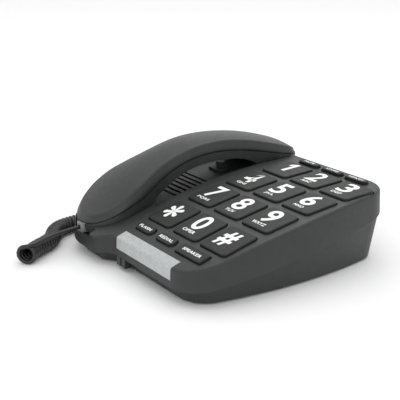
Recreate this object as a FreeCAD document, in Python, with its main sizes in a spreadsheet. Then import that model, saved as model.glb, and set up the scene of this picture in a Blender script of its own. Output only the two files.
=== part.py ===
"""Corded big-button desk telephone: base with keys and ringer lens, handset and coiled cord.

The frame is millimetres, +X to the user's right, +Y towards the back, +Z up. The origin is the middle of
the base's footprint, at the height of the table.
"""
import FreeCAD, Part
import math
import os

import Sketcher
from FreeCAD import Placement, Rotation, Vector

DIMENSIONS = [
    # base outline, seen from above
    ("base_half_width", 90.5), ("base_left", -90.3), ("base_front", -88.6), ("base_back", 89.4),
    ("lobe_front", -97.4), ("lobe_back", 98.5), ("side_bow_radius", 352.0), ("side_bow_middle", -4.0),
    ("front_corner", 28.0), ("back_corner", 29.0), ("lobe_front_corner", 40.0), ("lobe_back_corner", 22.0),
    ("blend_radius", 13.0), ("front_blend_start", -32.0), ("back_blend_start", -44.0),
    ("wall_taper", 2.5), ("skin", 2.5), ("deck_round", 2.2),
    # heights of the base
    ("deck_radius", 520.0), ("deck_crown_y", 82.7), ("deck_crown_z", 52.3),
    ("parting_middle", 23.05), ("parting_slope", 0.1468),
    ("lower_inset", 7.8), ("lower_taper", 9.0), ("foot_height", 1.5), ("blank_height", 62.0),
    # handset bay
    ("bay_middle", -55.5), ("bay_half_width", 28.2), ("bay_front", -93.4), ("bay_back", 96.4),
    ("channel_front", -46.5), ("channel_back", 53.0), ("channel_half_width", 27.8), ("channel_depth", 6.0),
    ("mouth_floor_rise", 2.0), ("ear_floor_rise", 8.5), ("bay_front_corner", 27.0), ("bay_back_corner", 16.0),
    ("bay_wall", 2.0), ("bay_left_spare", 3.5), ("rim_height", 16.2), ("rim_half_width", 19.0),
    ("back_rim_height", 45.0),
    ("slot_count", 7), ("slot_pitch", 5.0), ("slot_width", 2.2), ("slot_length", 41.0),
    ("slot_first_y", -23.5), ("clip_y", 27.0),
    # number keys
    ("key_first_x", 0.4), ("key_first_y", -47.8), ("key_pitch_x", 32.6), ("key_pitch_y", 34.1),
    ("key_width", 28.4), ("key_depth", 28.4), ("key_corner", 3.4), ("key_proud", 1.4), ("key_skirt", 4.6),
    ("key_edge", 0.9), ("key_gap", 0.7), ("key_travel", 1.5), ("stem_width", 9.0), ("window_depth", 7.0),
    # small keys
    ("front_key_y", -70.4), ("front_key_depth", 7.6), ("front_key_width", 20.4), ("front_key_proud", 1.6),
    ("speaker_key_width", 29.4), ("speaker_key_depth", 9.8), ("speaker_key_corner", 1.6),
    ("back_key_y", 76.9), ("back_key_depth", 6.2), ("back_key_width", 21.4), ("back_key_proud", 2.2),
    # ringer lens
    ("lens_left", -12.35), ("lens_width", 69.7), ("lens_back", -79.8), ("lens_drop", 8.5),
    ("lens_gap", 0.2), ("lens_wall", 2.2),
    # boards and what is on them
    ("board_thick", 1.6), ("mat_thick", 1.5), ("board_rise", 8.0), ("main_board_z", 8.0),
    ("speaker_dia", 40.0), ("speaker_tall", 12.0),
    # hook switch
    ("hook_y", 74.0), ("hook_stem", 6.0), ("hook_clearance", 0.35),
    # handset
    ("mouth_half_width", 27.0), ("ear_half_width", 26.0),
    ("handset_front", -92.4), ("handset_back", 95.4), ("mouth_corner", 25.0), ("ear_corner", 15.0),
    ("shell_wall", 2.2),
    # cord
    ("lead_dia", 3.0), ("coil_dia", 13.0), ("plug_width", 7.6), ("plug_tall", 6.6), ("plug_inside", 6.5),
    ("plug_z", 19.5), ("base_plug_y", 22.0), ("base_plug_z", 10.0),
]
KEY_NAMES = [["star", "0", "hash"], ["7", "8", "9"], ["4", "5", "6"], ["1", "2", "3"]]
TALL_KEYS = [name for names in KEY_NAMES for name in names]
# places seen from above, (x, y)
BOSS_PLACES = [(78.3, 3.35), (66.0, 74.0), (-19.5, -75.5), (-19.0, 74.0)]
FOOT_PLACES = [(-62.0, -70.0), (62.0, -67.5), (-60.0, 72.0), (60.0, 66.0)]
# the line jack's x and z, and the x of the two slide switches, all in the back wall
LINE_JACK = (10.0, 16.0)
SWITCH_PLACES = [38.0, 56.0]
# the underside of the handset's ear end above the casing joint, and the y of its earphone and mouthpiece
EAR_UNDERSIDE_RISE = 9.1
RECEIVER_Y = 78.8
MOUTHPIECE_Y = -67.5

doc = FreeCAD.newDocument("Telephone")
sheet = doc.addObject("Spreadsheet::Sheet", "Dimensions")
for row, (alias, value) in enumerate(DIMENSIONS, start=1):
    sheet.set(f"A{row}", alias)
    sheet.set(f"B{row}", str(value))
    sheet.setAlias(f"B{row}", alias)
doc.recompute()

SUBPARTS = []
YZ_TURN = Rotation(Vector(1, 1, 1), 120)
UPRIGHT = Rotation()
UP = Vector(0, 0, 1)


def dim(alias):
    """One driving dimension, read back from the sheet."""
    return float(sheet.get(alias))


def keep(shape_object, label):
    """Names an object as one of the sub-parts that are written out."""
    shape_object.Label = label
    SUBPARTS.append(shape_object)
    return shape_object


def bind(target, prop, expression):
    """Binds a property to the sheet; in the expression a cell's alias stands in angle brackets."""
    target.setExpression(prop, expression.replace("<", "Dimensions.").replace(">", ""))


def put(target, prop, value):
    """Sets a property to a number, or binds it when the value is an expression."""
    if isinstance(value, str):
        bind(target, prop, value)
    else:
        setattr(target, prop, value)


# ---------------------------------------------------------------- curves of the base


def deck_height(y, sink=0.0):
    """Height of the arched deck, or of the surface that runs a given depth below it."""
    centre = dim("deck_crown_z") - dim("deck_radius")
    return centre + math.sqrt((dim("deck_radius") - sink) ** 2 - (y - dim("deck_crown_y")) ** 2)


def deck_tilt(y):
    """Slope of the deck in degrees, positive where it climbs towards the back."""
    return math.degrees(math.asin((dim("deck_crown_y") - y) / dim("deck_radius")))


def joint_height(y, rise=0.0):
    """Height of the sloping joint between the two casings."""
    return dim("parting_middle") + dim("parting_slope") * y + rise


def joint_tilt():
    """Slope of that joint in degrees."""
    return math.degrees(math.atan(dim("parting_slope")))


def arc(centre, radius, start, end):
    """Arc of a circle in the XY plane between two angles in degrees, counter-clockwise."""
    circle = Part.Circle(Vector(*centre, 0), UP, radius)
    return Part.ArcOfCircle(circle, math.radians(start), math.radians(end))


def flat(points):
    """Straight edges through a list of plane points."""
    spots = [Vector(*point, 0) for point in points]
    return [Part.LineSegment(first, second) for first, second in zip(spots, spots[1:])]


def smooth(points):
    """One smooth edge through a list of plane points."""
    curve = Part.BSplineCurve()
    curve.interpolate([Vector(*point, 0) for point in points])
    return curve


def base_outline(inset=0.0):
    """Outline of the base: bowed sides, round corners and two lobes on the left that hold the handset."""
    bow, middle = dim("side_bow_radius"), dim("side_bow_middle")
    bow_x = bow - dim("base_half_width")

    def corner(radius, y):
        """A round corner that runs tangent into the bowed right side and the straight edge."""
        reach = math.sqrt((bow - radius) ** 2 - (y - middle) ** 2)
        turn = math.degrees(math.atan2(y - middle, reach))
        start, end = (-90, turn) if y < 0 else (turn, 90)
        return arc((reach - bow_x, y), radius - inset, start, end), turn

    def blend(start_x, outer, inner):
        """The S-curve from a lobe to the straight edge beside it."""
        radius, way = dim("blend_radius"), math.copysign(1, outer)
        swing = math.degrees(math.acos(1 - abs(outer - inner) / (2 * radius)))
        far_x = start_x + 2 * radius * math.sin(math.radians(swing))
        convex, hollow = (90 - swing, 90), (270 - swing, 270)
        if way < 0:
            convex, hollow = (-90, swing - 90), (90, 90 + swing)
        return (arc((start_x, outer - way * radius), radius - inset, *convex),
                arc((far_x, inner + way * radius), radius + inset, *hollow))

    right_front, front_turn = corner(dim("front_corner"), dim("base_front") + dim("front_corner"))
    right_back, back_turn = corner(dim("back_corner"), dim("base_back") - dim("back_corner"))
    low, high = dim("lobe_front_corner"), dim("lobe_back_corner")
    left_front = arc((dim("base_left") + low, dim("lobe_front") + low), low - inset, 180, 270)
    left_back = arc((dim("base_left") + high, dim("lobe_back") - high), high - inset, 90, 180)
    front_convex, front_hollow = blend(dim("front_blend_start"), dim("lobe_front"), dim("base_front"))
    back_convex, back_hollow = blend(dim("back_blend_start"), dim("lobe_back"), dim("base_back"))
    return [
        Part.LineSegment(front_hollow.StartPoint, right_front.StartPoint), right_front,
        arc((-bow_x, middle), bow - inset, front_turn, back_turn), right_back,
        Part.LineSegment(right_back.EndPoint, back_hollow.EndPoint), back_hollow, back_convex,
        Part.LineSegment(back_convex.EndPoint, left_back.StartPoint), left_back,
        Part.LineSegment(left_back.EndPoint, left_front.StartPoint), left_front,
        Part.LineSegment(left_front.EndPoint, front_convex.StartPoint), front_convex, front_hollow,
    ]


def joint_to_deck(rise, sink):
    """Side outline between the sloping joint, moved up, and the deck, moved down."""
    far = 110.0
    back, front = (far, deck_height(far, sink)), (-far, deck_height(-far, sink))
    crown = Part.Arc(Vector(*back, 0), Vector(0, deck_height(0, sink), 0), Vector(*front, 0))
    return [crown] + flat([front, (-far, joint_height(-far, rise)), (far, joint_height(far, rise)), back])


def above_joint(rise, front, back):
    """Side outline of everything above the sloping joint, moved up."""
    top = 100.0
    return flat([(front, joint_height(front, rise)), (back, joint_height(back, rise)),
                 (back, top), (front, top), (front, joint_height(front, rise))])


def above_deck(sink, front, back):
    """Side outline of everything above a surface that runs a given depth below the deck."""
    top = 100.0
    middle = (front + back) / 2
    floor = Part.Arc(Vector(front, deck_height(front, sink), 0), Vector(middle, deck_height(middle, sink), 0),
                     Vector(back, deck_height(back, sink), 0))
    return [floor] + flat([(back, deck_height(back, sink)), (back, top), (front, top),
                           (front, deck_height(front, sink))])


def rounded(left, right, front, back, front_corner, back_corner):
    """Rectangle in the XY plane with one radius at the front and another at the back."""
    low, high = front_corner, back_corner
    turns = [arc((right - low, front + low), low, -90, 0), arc((right - high, back - high), high, 0, 90),
             arc((left + high, back - high), high, 90, 180), arc((left + low, front + low), low, 180, 270)]
    edges = []
    for turn, following in zip(turns, turns[1:] + turns[:1]):
        edges += [turn, Part.LineSegment(turn.EndPoint, following.StartPoint)]
    return edges


# ---------------------------------------------------------------- building blocks


def extrusion(name, edges, length, placement=Placement(), back=0.0, taper=None):
    """A prism raised from a sketched outline along the sketch's normal."""
    drawn = doc.addObject("Sketcher::SketchObject", name + "_outline")
    drawn.Placement = placement
    drawn.addGeometry(edges, False)
    prism = doc.addObject("Part::Extrusion", name)
    prism.Base = drawn
    prism.DirMode = "Normal"
    prism.Solid = True
    put(prism, "LengthFwd", length)
    prism.LengthRev = back
    if taper:
        put(prism, "TaperAngle", taper)
    return prism


def across(name, edges, half_width=120.0, middle=0.0):
    """A prism of a side outline, the same length each side of its middle."""
    return extrusion(name, edges, half_width, Placement(Vector(middle, 0, 0), YZ_TURN), half_width)


def boolean(kind, name, base, tool):
    """A cut or an intersection of two objects."""
    result = doc.addObject(kind, name)
    result.Base, result.Tool = base, tool
    return result


def cut(name, base, tool):
    return boolean("Part::Cut", name, base, tool)


def common(name, base, tool):
    return boolean("Part::Common", name, base, tool)


def fuse(name, shapes):
    """One solid, or one group of solids, from several objects."""
    result = doc.addObject("Part::MultiFuse", name)
    result.Shapes = shapes
    return result


def box(name, size, place):
    """A box by its sizes and the middle of its bottom face; a size may be an expression."""
    block = doc.addObject("Part::Box", name)
    for prop, value in zip(("Length", "Width", "Height"), size):
        put(block, prop, value)
    doc.recompute([block])
    place = place if isinstance(place, Placement) else Placement(Vector(*place), UPRIGHT)
    block.Placement = place * Placement(Vector(-block.Length.Value / 2, -block.Width.Value / 2, 0), UPRIGHT)
    return block


def cylinder(name, radius, height, place):
    """A round bar standing on the middle of its bottom face; a size may be an expression."""
    bar = doc.addObject("Part::Cylinder", name)
    put(bar, "Radius", radius)
    put(bar, "Height", height)
    bar.Placement = place if isinstance(place, Placement) else Placement(Vector(*place), UPRIGHT)
    return bar


def rounded_body(name, width, depth, height, corner, place, edge=None, sink=0.0):
    """A Part Design block with round corners, padded from a constrained sketch, its top edge rounded."""
    body = doc.addObject("PartDesign::Body", name)
    drawn = body.newObject("Sketcher::SketchObject", name + "_sketch")
    plane = next(feature for feature in body.Origin.OriginFeatures if feature.Role == "XY_Plane")
    drawn.AttachmentSupport = [(plane, "")]
    drawn.MapMode = "FlatFace"
    drawn.AttachmentOffset = Placement(Vector(0, 0, -sink), UPRIGHT)
    a, b, r = (20.0, 10.0, 2.0) if isinstance(width, str) else (width / 2, depth_guess(depth), 2.0)
    sides = [((r - a, -b), (a - r, -b)), ((a, r - b), (a, b - r)),
             ((a - r, b), (r - a, b)), ((-a, b - r), (-a, r - b))]
    for first, second in sides:
        drawn.addGeometry(Part.LineSegment(Vector(*first, 0), Vector(*second, 0)), False)
    for quarter, centre in enumerate(((a - r, r - b), (a - r, b - r), (r - a, b - r), (r - a, r - b))):
        drawn.addGeometry(arc(centre, r, 90 * quarter - 90, 90 * quarter), False)
    rules = []
    for side in range(4):
        turn, following = side + 4, (side + 1) % 4
        rules.append(Sketcher.Constraint("Tangent", side, 2, turn, 1))
        rules.append(Sketcher.Constraint("Tangent", turn, 2, following, 1))
        rules.append(Sketcher.Constraint("Vertical" if side % 2 else "Horizontal", side))
    rules += [Sketcher.Constraint("Equal", 4, turn) for turn in (5, 6, 7)]
    rules.append(Sketcher.Constraint("Symmetric", 7, 3, 5, 3, -1, 1))
    drawn.addConstraint(rules)
    for label, rule, value in (
        ("width", ("DistanceX", 3, 1, 1, 1, 2 * a), width),
        ("depth", ("DistanceY", 0, 1, 2, 1, 2 * b), depth),
        ("corner", ("Radius", 4, r), corner),
    ):
        index = drawn.addConstraint(Sketcher.Constraint(*rule))
        drawn.renameConstraint(index, label)
        put_constraint(drawn, label, value)
    pad = body.newObject("PartDesign::Pad", name + "_pad")
    pad.Profile = drawn
    put(pad, "Length", height)
    body.Placement = place if isinstance(place, Placement) else Placement(Vector(*place), UPRIGHT)
    if edge is not None:
        doc.recompute()
        top = max(vertex.Z for vertex in pad.Shape.Vertexes)
        rim = [f"Edge{number}" for number, line in enumerate(pad.Shape.Edges, start=1)
               if all(abs(vertex.Z - top) < 1e-6 for vertex in line.Vertexes)]
        round_off = body.newObject("PartDesign::Fillet", name + "_edge")
        round_off.Base = (pad, rim)
        put(round_off, "Radius", edge)
    return body


def put_constraint(drawn, label, value):
    """Binds a named sketch constraint to the sheet, or to a plain number."""
    bind(drawn, f"Constraints.{label}", value if isinstance(value, str) else f"{value} mm")


def depth_guess(depth):
    """Half of a block's depth where that is a number, to draw the sketch near its final size."""
    return 10.0 if isinstance(depth, str) else depth / 2


def on_deck(x, y, sink=0.0):
    """Placement on the deck at a point, its Z axis square to the deck there."""
    turn = Rotation(Vector(1, 0, 0), deck_tilt(y))
    return Placement(Vector(x, y, deck_height(y)), turn) * Placement(Vector(0, 0, -sink), UPRIGHT)


def on_joint(x, y, rise):
    """Placement on a plane parallel to the casing joint."""
    return Placement(Vector(x, y, joint_height(y, rise)), Rotation(Vector(1, 0, 0), joint_tilt()))


# ---------------------------------------------------------------- base casings


def bay(name, grow):
    """The space that the handset lies in: mouth well, channel and ear well, grown by a wall thickness.

    On the left the grown wall is thicker, so that it is one with the casing's outer wall.
    """
    middle, half = dim("bay_middle"), dim("bay_half_width") + grow
    left, right = middle - half - (dim("bay_left_spare") if grow else 0.0), middle + half
    front, back = dim("bay_front") - grow, dim("bay_back") + grow
    mouth_back, ear_front = dim("channel_front") + grow, dim("channel_back") - grow
    inner = 5.0
    mouth = common(
        name + "_mouth",
        extrusion(name + "_mouth_plan", rounded(left, right, front, mouth_back,
                                                dim("bay_front_corner") + grow, inner), 100.0),
        across(name + "_mouth_side", above_joint(dim("mouth_floor_rise") - grow, -110.0, 110.0)))
    ear = common(
        name + "_ear",
        extrusion(name + "_ear_plan", rounded(left, right, ear_front, back, inner,
                                              dim("bay_back_corner") + grow), 100.0),
        across(name + "_ear_side", above_joint(dim("ear_floor_rise") - grow, -110.0, 110.0)))
    narrow = dim("channel_half_width") + grow
    flare = [(middle + narrow + 5.5, mouth_back - 2 * grow - 2), (middle + narrow + 4.6, -44.0),
             (middle + narrow + 1.6, -20.0), (middle + narrow, 8.0)]
    edge = left if grow else middle - narrow
    channel_plan = flat([(middle + narrow, 8.0), (middle + narrow, ear_front + 2 * grow + 2),
                         (edge, ear_front + 2 * grow + 2), (edge, flare[0][1]), flare[0]])
    channel = common(
        name + "_channel",
        extrusion(name + "_channel_plan", channel_plan + [smooth(flare)], 100.0),
        across(name + "_channel_side", above_deck(dim("channel_depth") + grow, -60.0, 70.0)))
    return fuse(name, [mouth, ear, channel])


def key_windows():
    """Openings in the deck for all the keys, each square to the deck at its own row."""
    gap = dim("key_gap")
    windows = []
    for key, spot in key_layout().items():
        half_width, half_depth = spot["width"] / 2 + gap, spot["depth"] / 2 + gap
        outline = rounded(-half_width, half_width, -half_depth, half_depth,
                          spot["corner"] + gap, spot["corner"] + gap)
        windows.append(extrusion(f"window_{key}", outline, dim("window_depth") + 4.5,
                                 on_deck(spot["x"], spot["y"], dim("window_depth"))))
    return windows


def key_layout():
    """Where each key stands and how large it is, by the key's name."""
    layout = {}
    for row, names in enumerate(KEY_NAMES):
        for column, name in enumerate(names):
            layout[name] = {
                "x": dim("key_first_x") + column * dim("key_pitch_x"),
                "y": dim("key_first_y") + row * dim("key_pitch_y"),
                "width": dim("key_width"), "depth": dim("key_depth"), "corner": dim("key_corner"),
                "size": ("<key_width>", "<key_depth>", "<key_corner>", "<key_proud>"),
            }
    front = ("<front_key_width>", "<front_key_depth>", "<front_key_depth> / 2 - 0.05", "<front_key_proud>")
    back = ("<back_key_width>", "<back_key_depth>", "<back_key_depth> / 2 - 0.05", "<back_key_proud>")
    speaker = ("<speaker_key_width>", "<speaker_key_depth>", "<speaker_key_corner>", "<front_key_proud>")
    small = [("flash", -0.5, "front", front), ("redial", 26.4, "front", front),
             ("speaker", 57.4, "speaker", speaker), ("mute", 0.2, "back", back),
             ("store", 26.3, "back", back), ("memory", 51.9, "back", back)]
    for name, x, kind, size in small:
        width, depth = dim(f"{kind}_key_width"), dim(f"{kind}_key_depth")
        corner = dim("speaker_key_corner") if kind == "speaker" else depth / 2 - 0.05
        y = dim("back_key_y") if kind == "back" else dim("front_key_y")
        layout[name] = {"x": x, "y": y, "width": width, "depth": depth, "corner": corner, "size": size}
    return layout


def deck_edges(shape):
    """The edges where the walls meet the arched deck, as numbers counted from one."""
    found = []
    for number, line in enumerate(shape.Edges, start=1):
        spots = line.discretize(5)
        if all(abs(spot.z - deck_height(spot.y)) < 0.05 for spot in spots):
            found.append(number)
    return found


def upper_form():
    """The solid form of the upper casing and the hollow inside it."""
    form = common("upper_form",
                  extrusion("upper_plan", base_outline(), "<blank_height>", taper="-<wall_taper>"),
                  across("upper_side", joint_to_deck(0.0, 0.0)))
    hollow = common("upper_hollow",
                    extrusion("hollow_plan", base_outline(dim("skin")), "<blank_height>",
                              taper="-<wall_taper>"),
                    across("hollow_side", joint_to_deck(-1.0, dim("skin"))))
    return form, hollow


def lens_blank(name, spare):
    """The block of space that the lens takes out of the front edge, with some room to spare."""
    front, back = dim("base_front") - 6.0, dim("lens_back") + spare
    fold_y = dim("base_front") + 1.1
    bottom = deck_height(fold_y) - dim("lens_drop") - spare
    width = dim("lens_width") + 2 * spare
    middle = dim("lens_left") + dim("lens_width") / 2
    return box(name, (width, back - front, 20.0), (middle, (front + back) / 2, bottom))


def bosses(name, radius, low, high):
    """Screw bosses between two heights above the casing joint."""
    made = []
    for number, (x, y) in enumerate(BOSS_PLACES, start=1):
        place = Placement(Vector(x, y, joint_height(y, low)), UPRIGHT)
        made.append(cylinder(f"{name}_{number}", radius, high(y) - joint_height(y, low), place))
    return made


def build_upper_casing():
    """The top of the base: walls, arched deck, bay for the handset, key windows and speaker slots."""
    form, hollow = upper_form()
    doc.recompute()
    crowned = doc.addObject("Part::Fillet", "upper_rounded")
    crowned.Base = form
    crowned.Edges = [(number, dim("deck_round"), dim("deck_round")) for number in deck_edges(form.Shape)]
    skin = cut("upper_skin", crowned, cut("upper_inside", hollow, bay("bay_walls", dim("bay_wall"))))
    bars = fuse("boss_bars", bosses("boss", 2.6, 2.75, lambda y: deck_height(y) - 1.0))
    posts = common("boss_posts", bars, form)
    cavities = [bay("bay_space", 0.0), lens_blank("lens_opening", dim("lens_gap"))] + key_windows()
    rim_wide = 2 * dim("rim_half_width")
    cavities.append(box("rim_notch", (rim_wide, 12.0, 30.0), (dim("bay_middle"), -97.0, dim("rim_height"))))
    cavities.append(box("back_notch", (2 * dim("bay_half_width"), 20.0, 30.0),
                        (dim("bay_middle"), dim("bay_back") - 6.0, dim("back_rim_height"))))
    for number in range(int(dim("slot_count"))):
        y = dim("slot_first_y") + number * dim("slot_pitch")
        place = on_deck(dim("bay_middle"), y, dim("channel_depth") + 6.0)
        cavities.append(box(f"slot_{number + 1}", ("<slot_length>", "<slot_width>", 9.0), place))
    hook = on_joint(dim("bay_middle"), dim("hook_y"), 0.0)
    cavities.append(box("hook_hole", (9.0, 7.0, 9.0), hook * Placement(Vector(0, 0, 4.0), UPRIGHT)))
    cavities.append(box("clip_hole", (11.0, 4.0, 9.0), on_deck(dim("bay_middle"), dim("clip_y"), 12.0)))
    cavities += bosses("boss_pilot", 1.2, 0.0, lambda y: joint_height(y, 9.0))
    return keep(cut("upper_casing", fuse("upper_solid", [skin, posts]), fuse("upper_cavities", cavities)),
                "upper_casing"), crowned, hollow


def build_lower_casing():
    """The tray under the joint: tapered walls, a ledge inside the upper casing, and floor openings."""
    low, walls = dim("foot_height"), dim("skin")
    tray = extrusion("tray_plan", base_outline(dim("lower_inset")), 50.0,
                     Placement(Vector(0, 0, low), UPRIGHT), taper="<lower_taper>")
    inside = extrusion("tray_inside_plan", base_outline(dim("lower_inset") + walls), 50.0,
                       Placement(Vector(0, 0, low + walls), UPRIGHT), taper="<lower_taper>")
    shell = cut("tray_trim", cut("tray_shell", tray, inside),
                across("tray_top", above_joint(0.0, -110.0, 110.0)))
    ledge_side = flat([(-110.0, joint_height(-110.0)), (110.0, joint_height(110.0)),
                       (110.0, joint_height(110.0, 1.8)), (-110.0, joint_height(-110.0, 1.8)),
                       (-110.0, joint_height(-110.0))])
    ledge = common("ledge_ring", cut("ledge_frame", extrusion("ledge_plan", base_outline(4.6), 60.0),
                                     extrusion("ledge_inner", base_outline(11.5), 60.0)),
                   across("ledge_side", ledge_side))
    ledge = cut("ledge", cut("ledge_clear", ledge, bay("bay_clearance", dim("bay_wall") + 0.15)),
                lens_blank("lens_clearance", 1.0))
    posts = [cylinder(f"tray_post_{number}", 3.6, joint_height(y, 2.45) - low - 0.2, (x, y, low + 0.2))
             for number, (x, y) in enumerate(BOSS_PLACES, start=1)]
    feet = [cylinder(f"foot_seat_{number}", 6.2, 1.0, (x, y, low - 0.2))
            for number, (x, y) in enumerate(FOOT_PLACES, start=1)]
    wells = [cylinder(f"screw_well_{number}", 2.7, joint_height(y) - low - 5.0, (x, y, low - 0.5))
             for number, (x, y) in enumerate(BOSS_PLACES, start=1)]
    shanks = [cylinder(f"screw_hole_{number}", 1.4, 60.0, (x, y, 0.0))
              for number, (x, y) in enumerate(BOSS_PLACES, start=1)]
    openings = [
        box("line_jack_hole", (13.4, 14.0, 11.4), (LINE_JACK[0], 80.0, LINE_JACK[1] - 5.7)),
        box("keeper_slot", (6.4, 8.0, 2.2), (-6.4, -81.0, 7.6)),
        box("cord_jack_hole", (16.0, 11.4, 10.4), (-84.0, dim("base_plug_y"), dim("base_plug_z") - 5.2)),
    ]
    openings += [box(f"switch_slot_{number}", (9.4, 14.0, 3.4), (x, 80.0, 18.3))
                 for number, x in enumerate(SWITCH_PLACES, start=1)]
    tray = fuse("tray_solid", [shell, ledge] + posts)
    return keep(cut("lower_casing", tray, fuse("tray_openings", feet + wells + shanks + openings)),
                "lower_casing")


def build_lens(form, hollow):
    """The clear ringer lens, folded over the front edge and flush with deck and wall."""
    blank = lens_blank("lens_blank", 0.0)
    core = common("lens_core",
                  extrusion("lens_core_plan", base_outline(dim("lens_wall")), "<blank_height>",
                            taper="-<wall_taper>"),
                  across("lens_core_side", joint_to_deck(-1.0, dim("lens_wall"))))
    return keep(cut("lens", common("lens_skin", form, blank), core), "ringer_lens")


def build_keys():
    """All the push keys: a rounded cap in its window and a stem that ends above the rubber mat."""
    for name, spot in key_layout().items():
        width, depth, corner, proud = spot["size"]
        cap = rounded_body(f"cap_{name}", width, depth, f"{proud} + <key_skirt>", corner,
                           on_deck(spot["x"], spot["y"]), "<key_edge>" if name in TALL_KEYS else 0.6,
                           sink=dim("key_skirt"))
        mat_top = dim("board_rise") + dim("mat_thick") + dim("key_travel") + 0.9
        long = deck_height(spot["y"]) - joint_height(spot["y"], mat_top) - dim("key_skirt") + 0.3
        stem_wide = dim("stem_width") if name in TALL_KEYS else 4.0
        stem = box(f"stem_{name}", (stem_wide, stem_wide, long),
                   on_deck(spot["x"], spot["y"], dim("key_skirt") + long - 0.3))
        keep(fuse(f"key_{name}_solid", [cap, stem]), f"key_{name}")


def build_keypad_stack():
    """The rubber mat with its domes and the board under it, both along the casing joint's slope."""
    middle_x, middle_y, long_y, wide_x = 30.5, 4.0, 158.0, 87.0
    board = rounded_body("keypad_board_body", wide_x, long_y, "<board_thick>", 14.0,
                         on_joint(middle_x, middle_y, dim("board_rise") - dim("board_thick")))
    clear = bosses("board_clearance", 3.5, 0.0, lambda y: deck_height(y))
    keep(cut("keypad_board_solid", board, fuse("board_holes", clear)), "keypad_board")
    mat = rounded_body("keypad_mat_sheet", wide_x, long_y, 0.8, 14.0,
                       on_joint(middle_x, middle_y, dim("board_rise") + 0.05))
    domes = []
    for name, spot in key_layout().items():
        dome = doc.addObject("Part::Cone", f"dome_{name}")
        wide = 5.0 if name in TALL_KEYS else 2.6
        dome.Radius1, dome.Radius2 = wide, wide * 0.7
        put(dome, "Height", "<mat_thick> - 0.6")
        dome.Placement = on_joint(spot["x"], spot["y"], dim("board_rise") + 0.6)
        domes.append(dome)
    clear = bosses("mat_clearance", 3.5, 0.0, lambda y: deck_height(y))
    domed = fuse("mat_and_domes", [mat] + domes)
    keep(cut("keypad_mat_solid", domed, fuse("mat_holes", clear)), "keypad_mat")


def build_ringer_lamps():
    """A small upright board behind the lens with its three lamps."""
    y, z, x = -78.6, 13.9, dim("lens_left") + dim("lens_width") / 2
    keep(box("lamp_board_box", (50.0, "<board_thick>", 6.4), (x, y, z)), "lamp_board")
    for number, shift in enumerate((-18.0, 0.0, 18.0), start=1):
        seat = Vector(x + shift, y - dim("board_thick") / 2, z + 3.4)
        front = Placement(seat, Rotation(Vector(1, 0, 0), 90))
        rod = cylinder(f"lamp_rod_{number}", 1.5, 2.2, front)
        tip = doc.addObject("Part::Sphere", f"lamp_tip_{number}")
        tip.Radius = 1.5
        tip.Placement = front * Placement(Vector(0, 0, 2.2), UPRIGHT)
        keep(fuse(f"lamp_{number}_solid", [rod, tip]), f"ringer_lamp_{number}")


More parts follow.
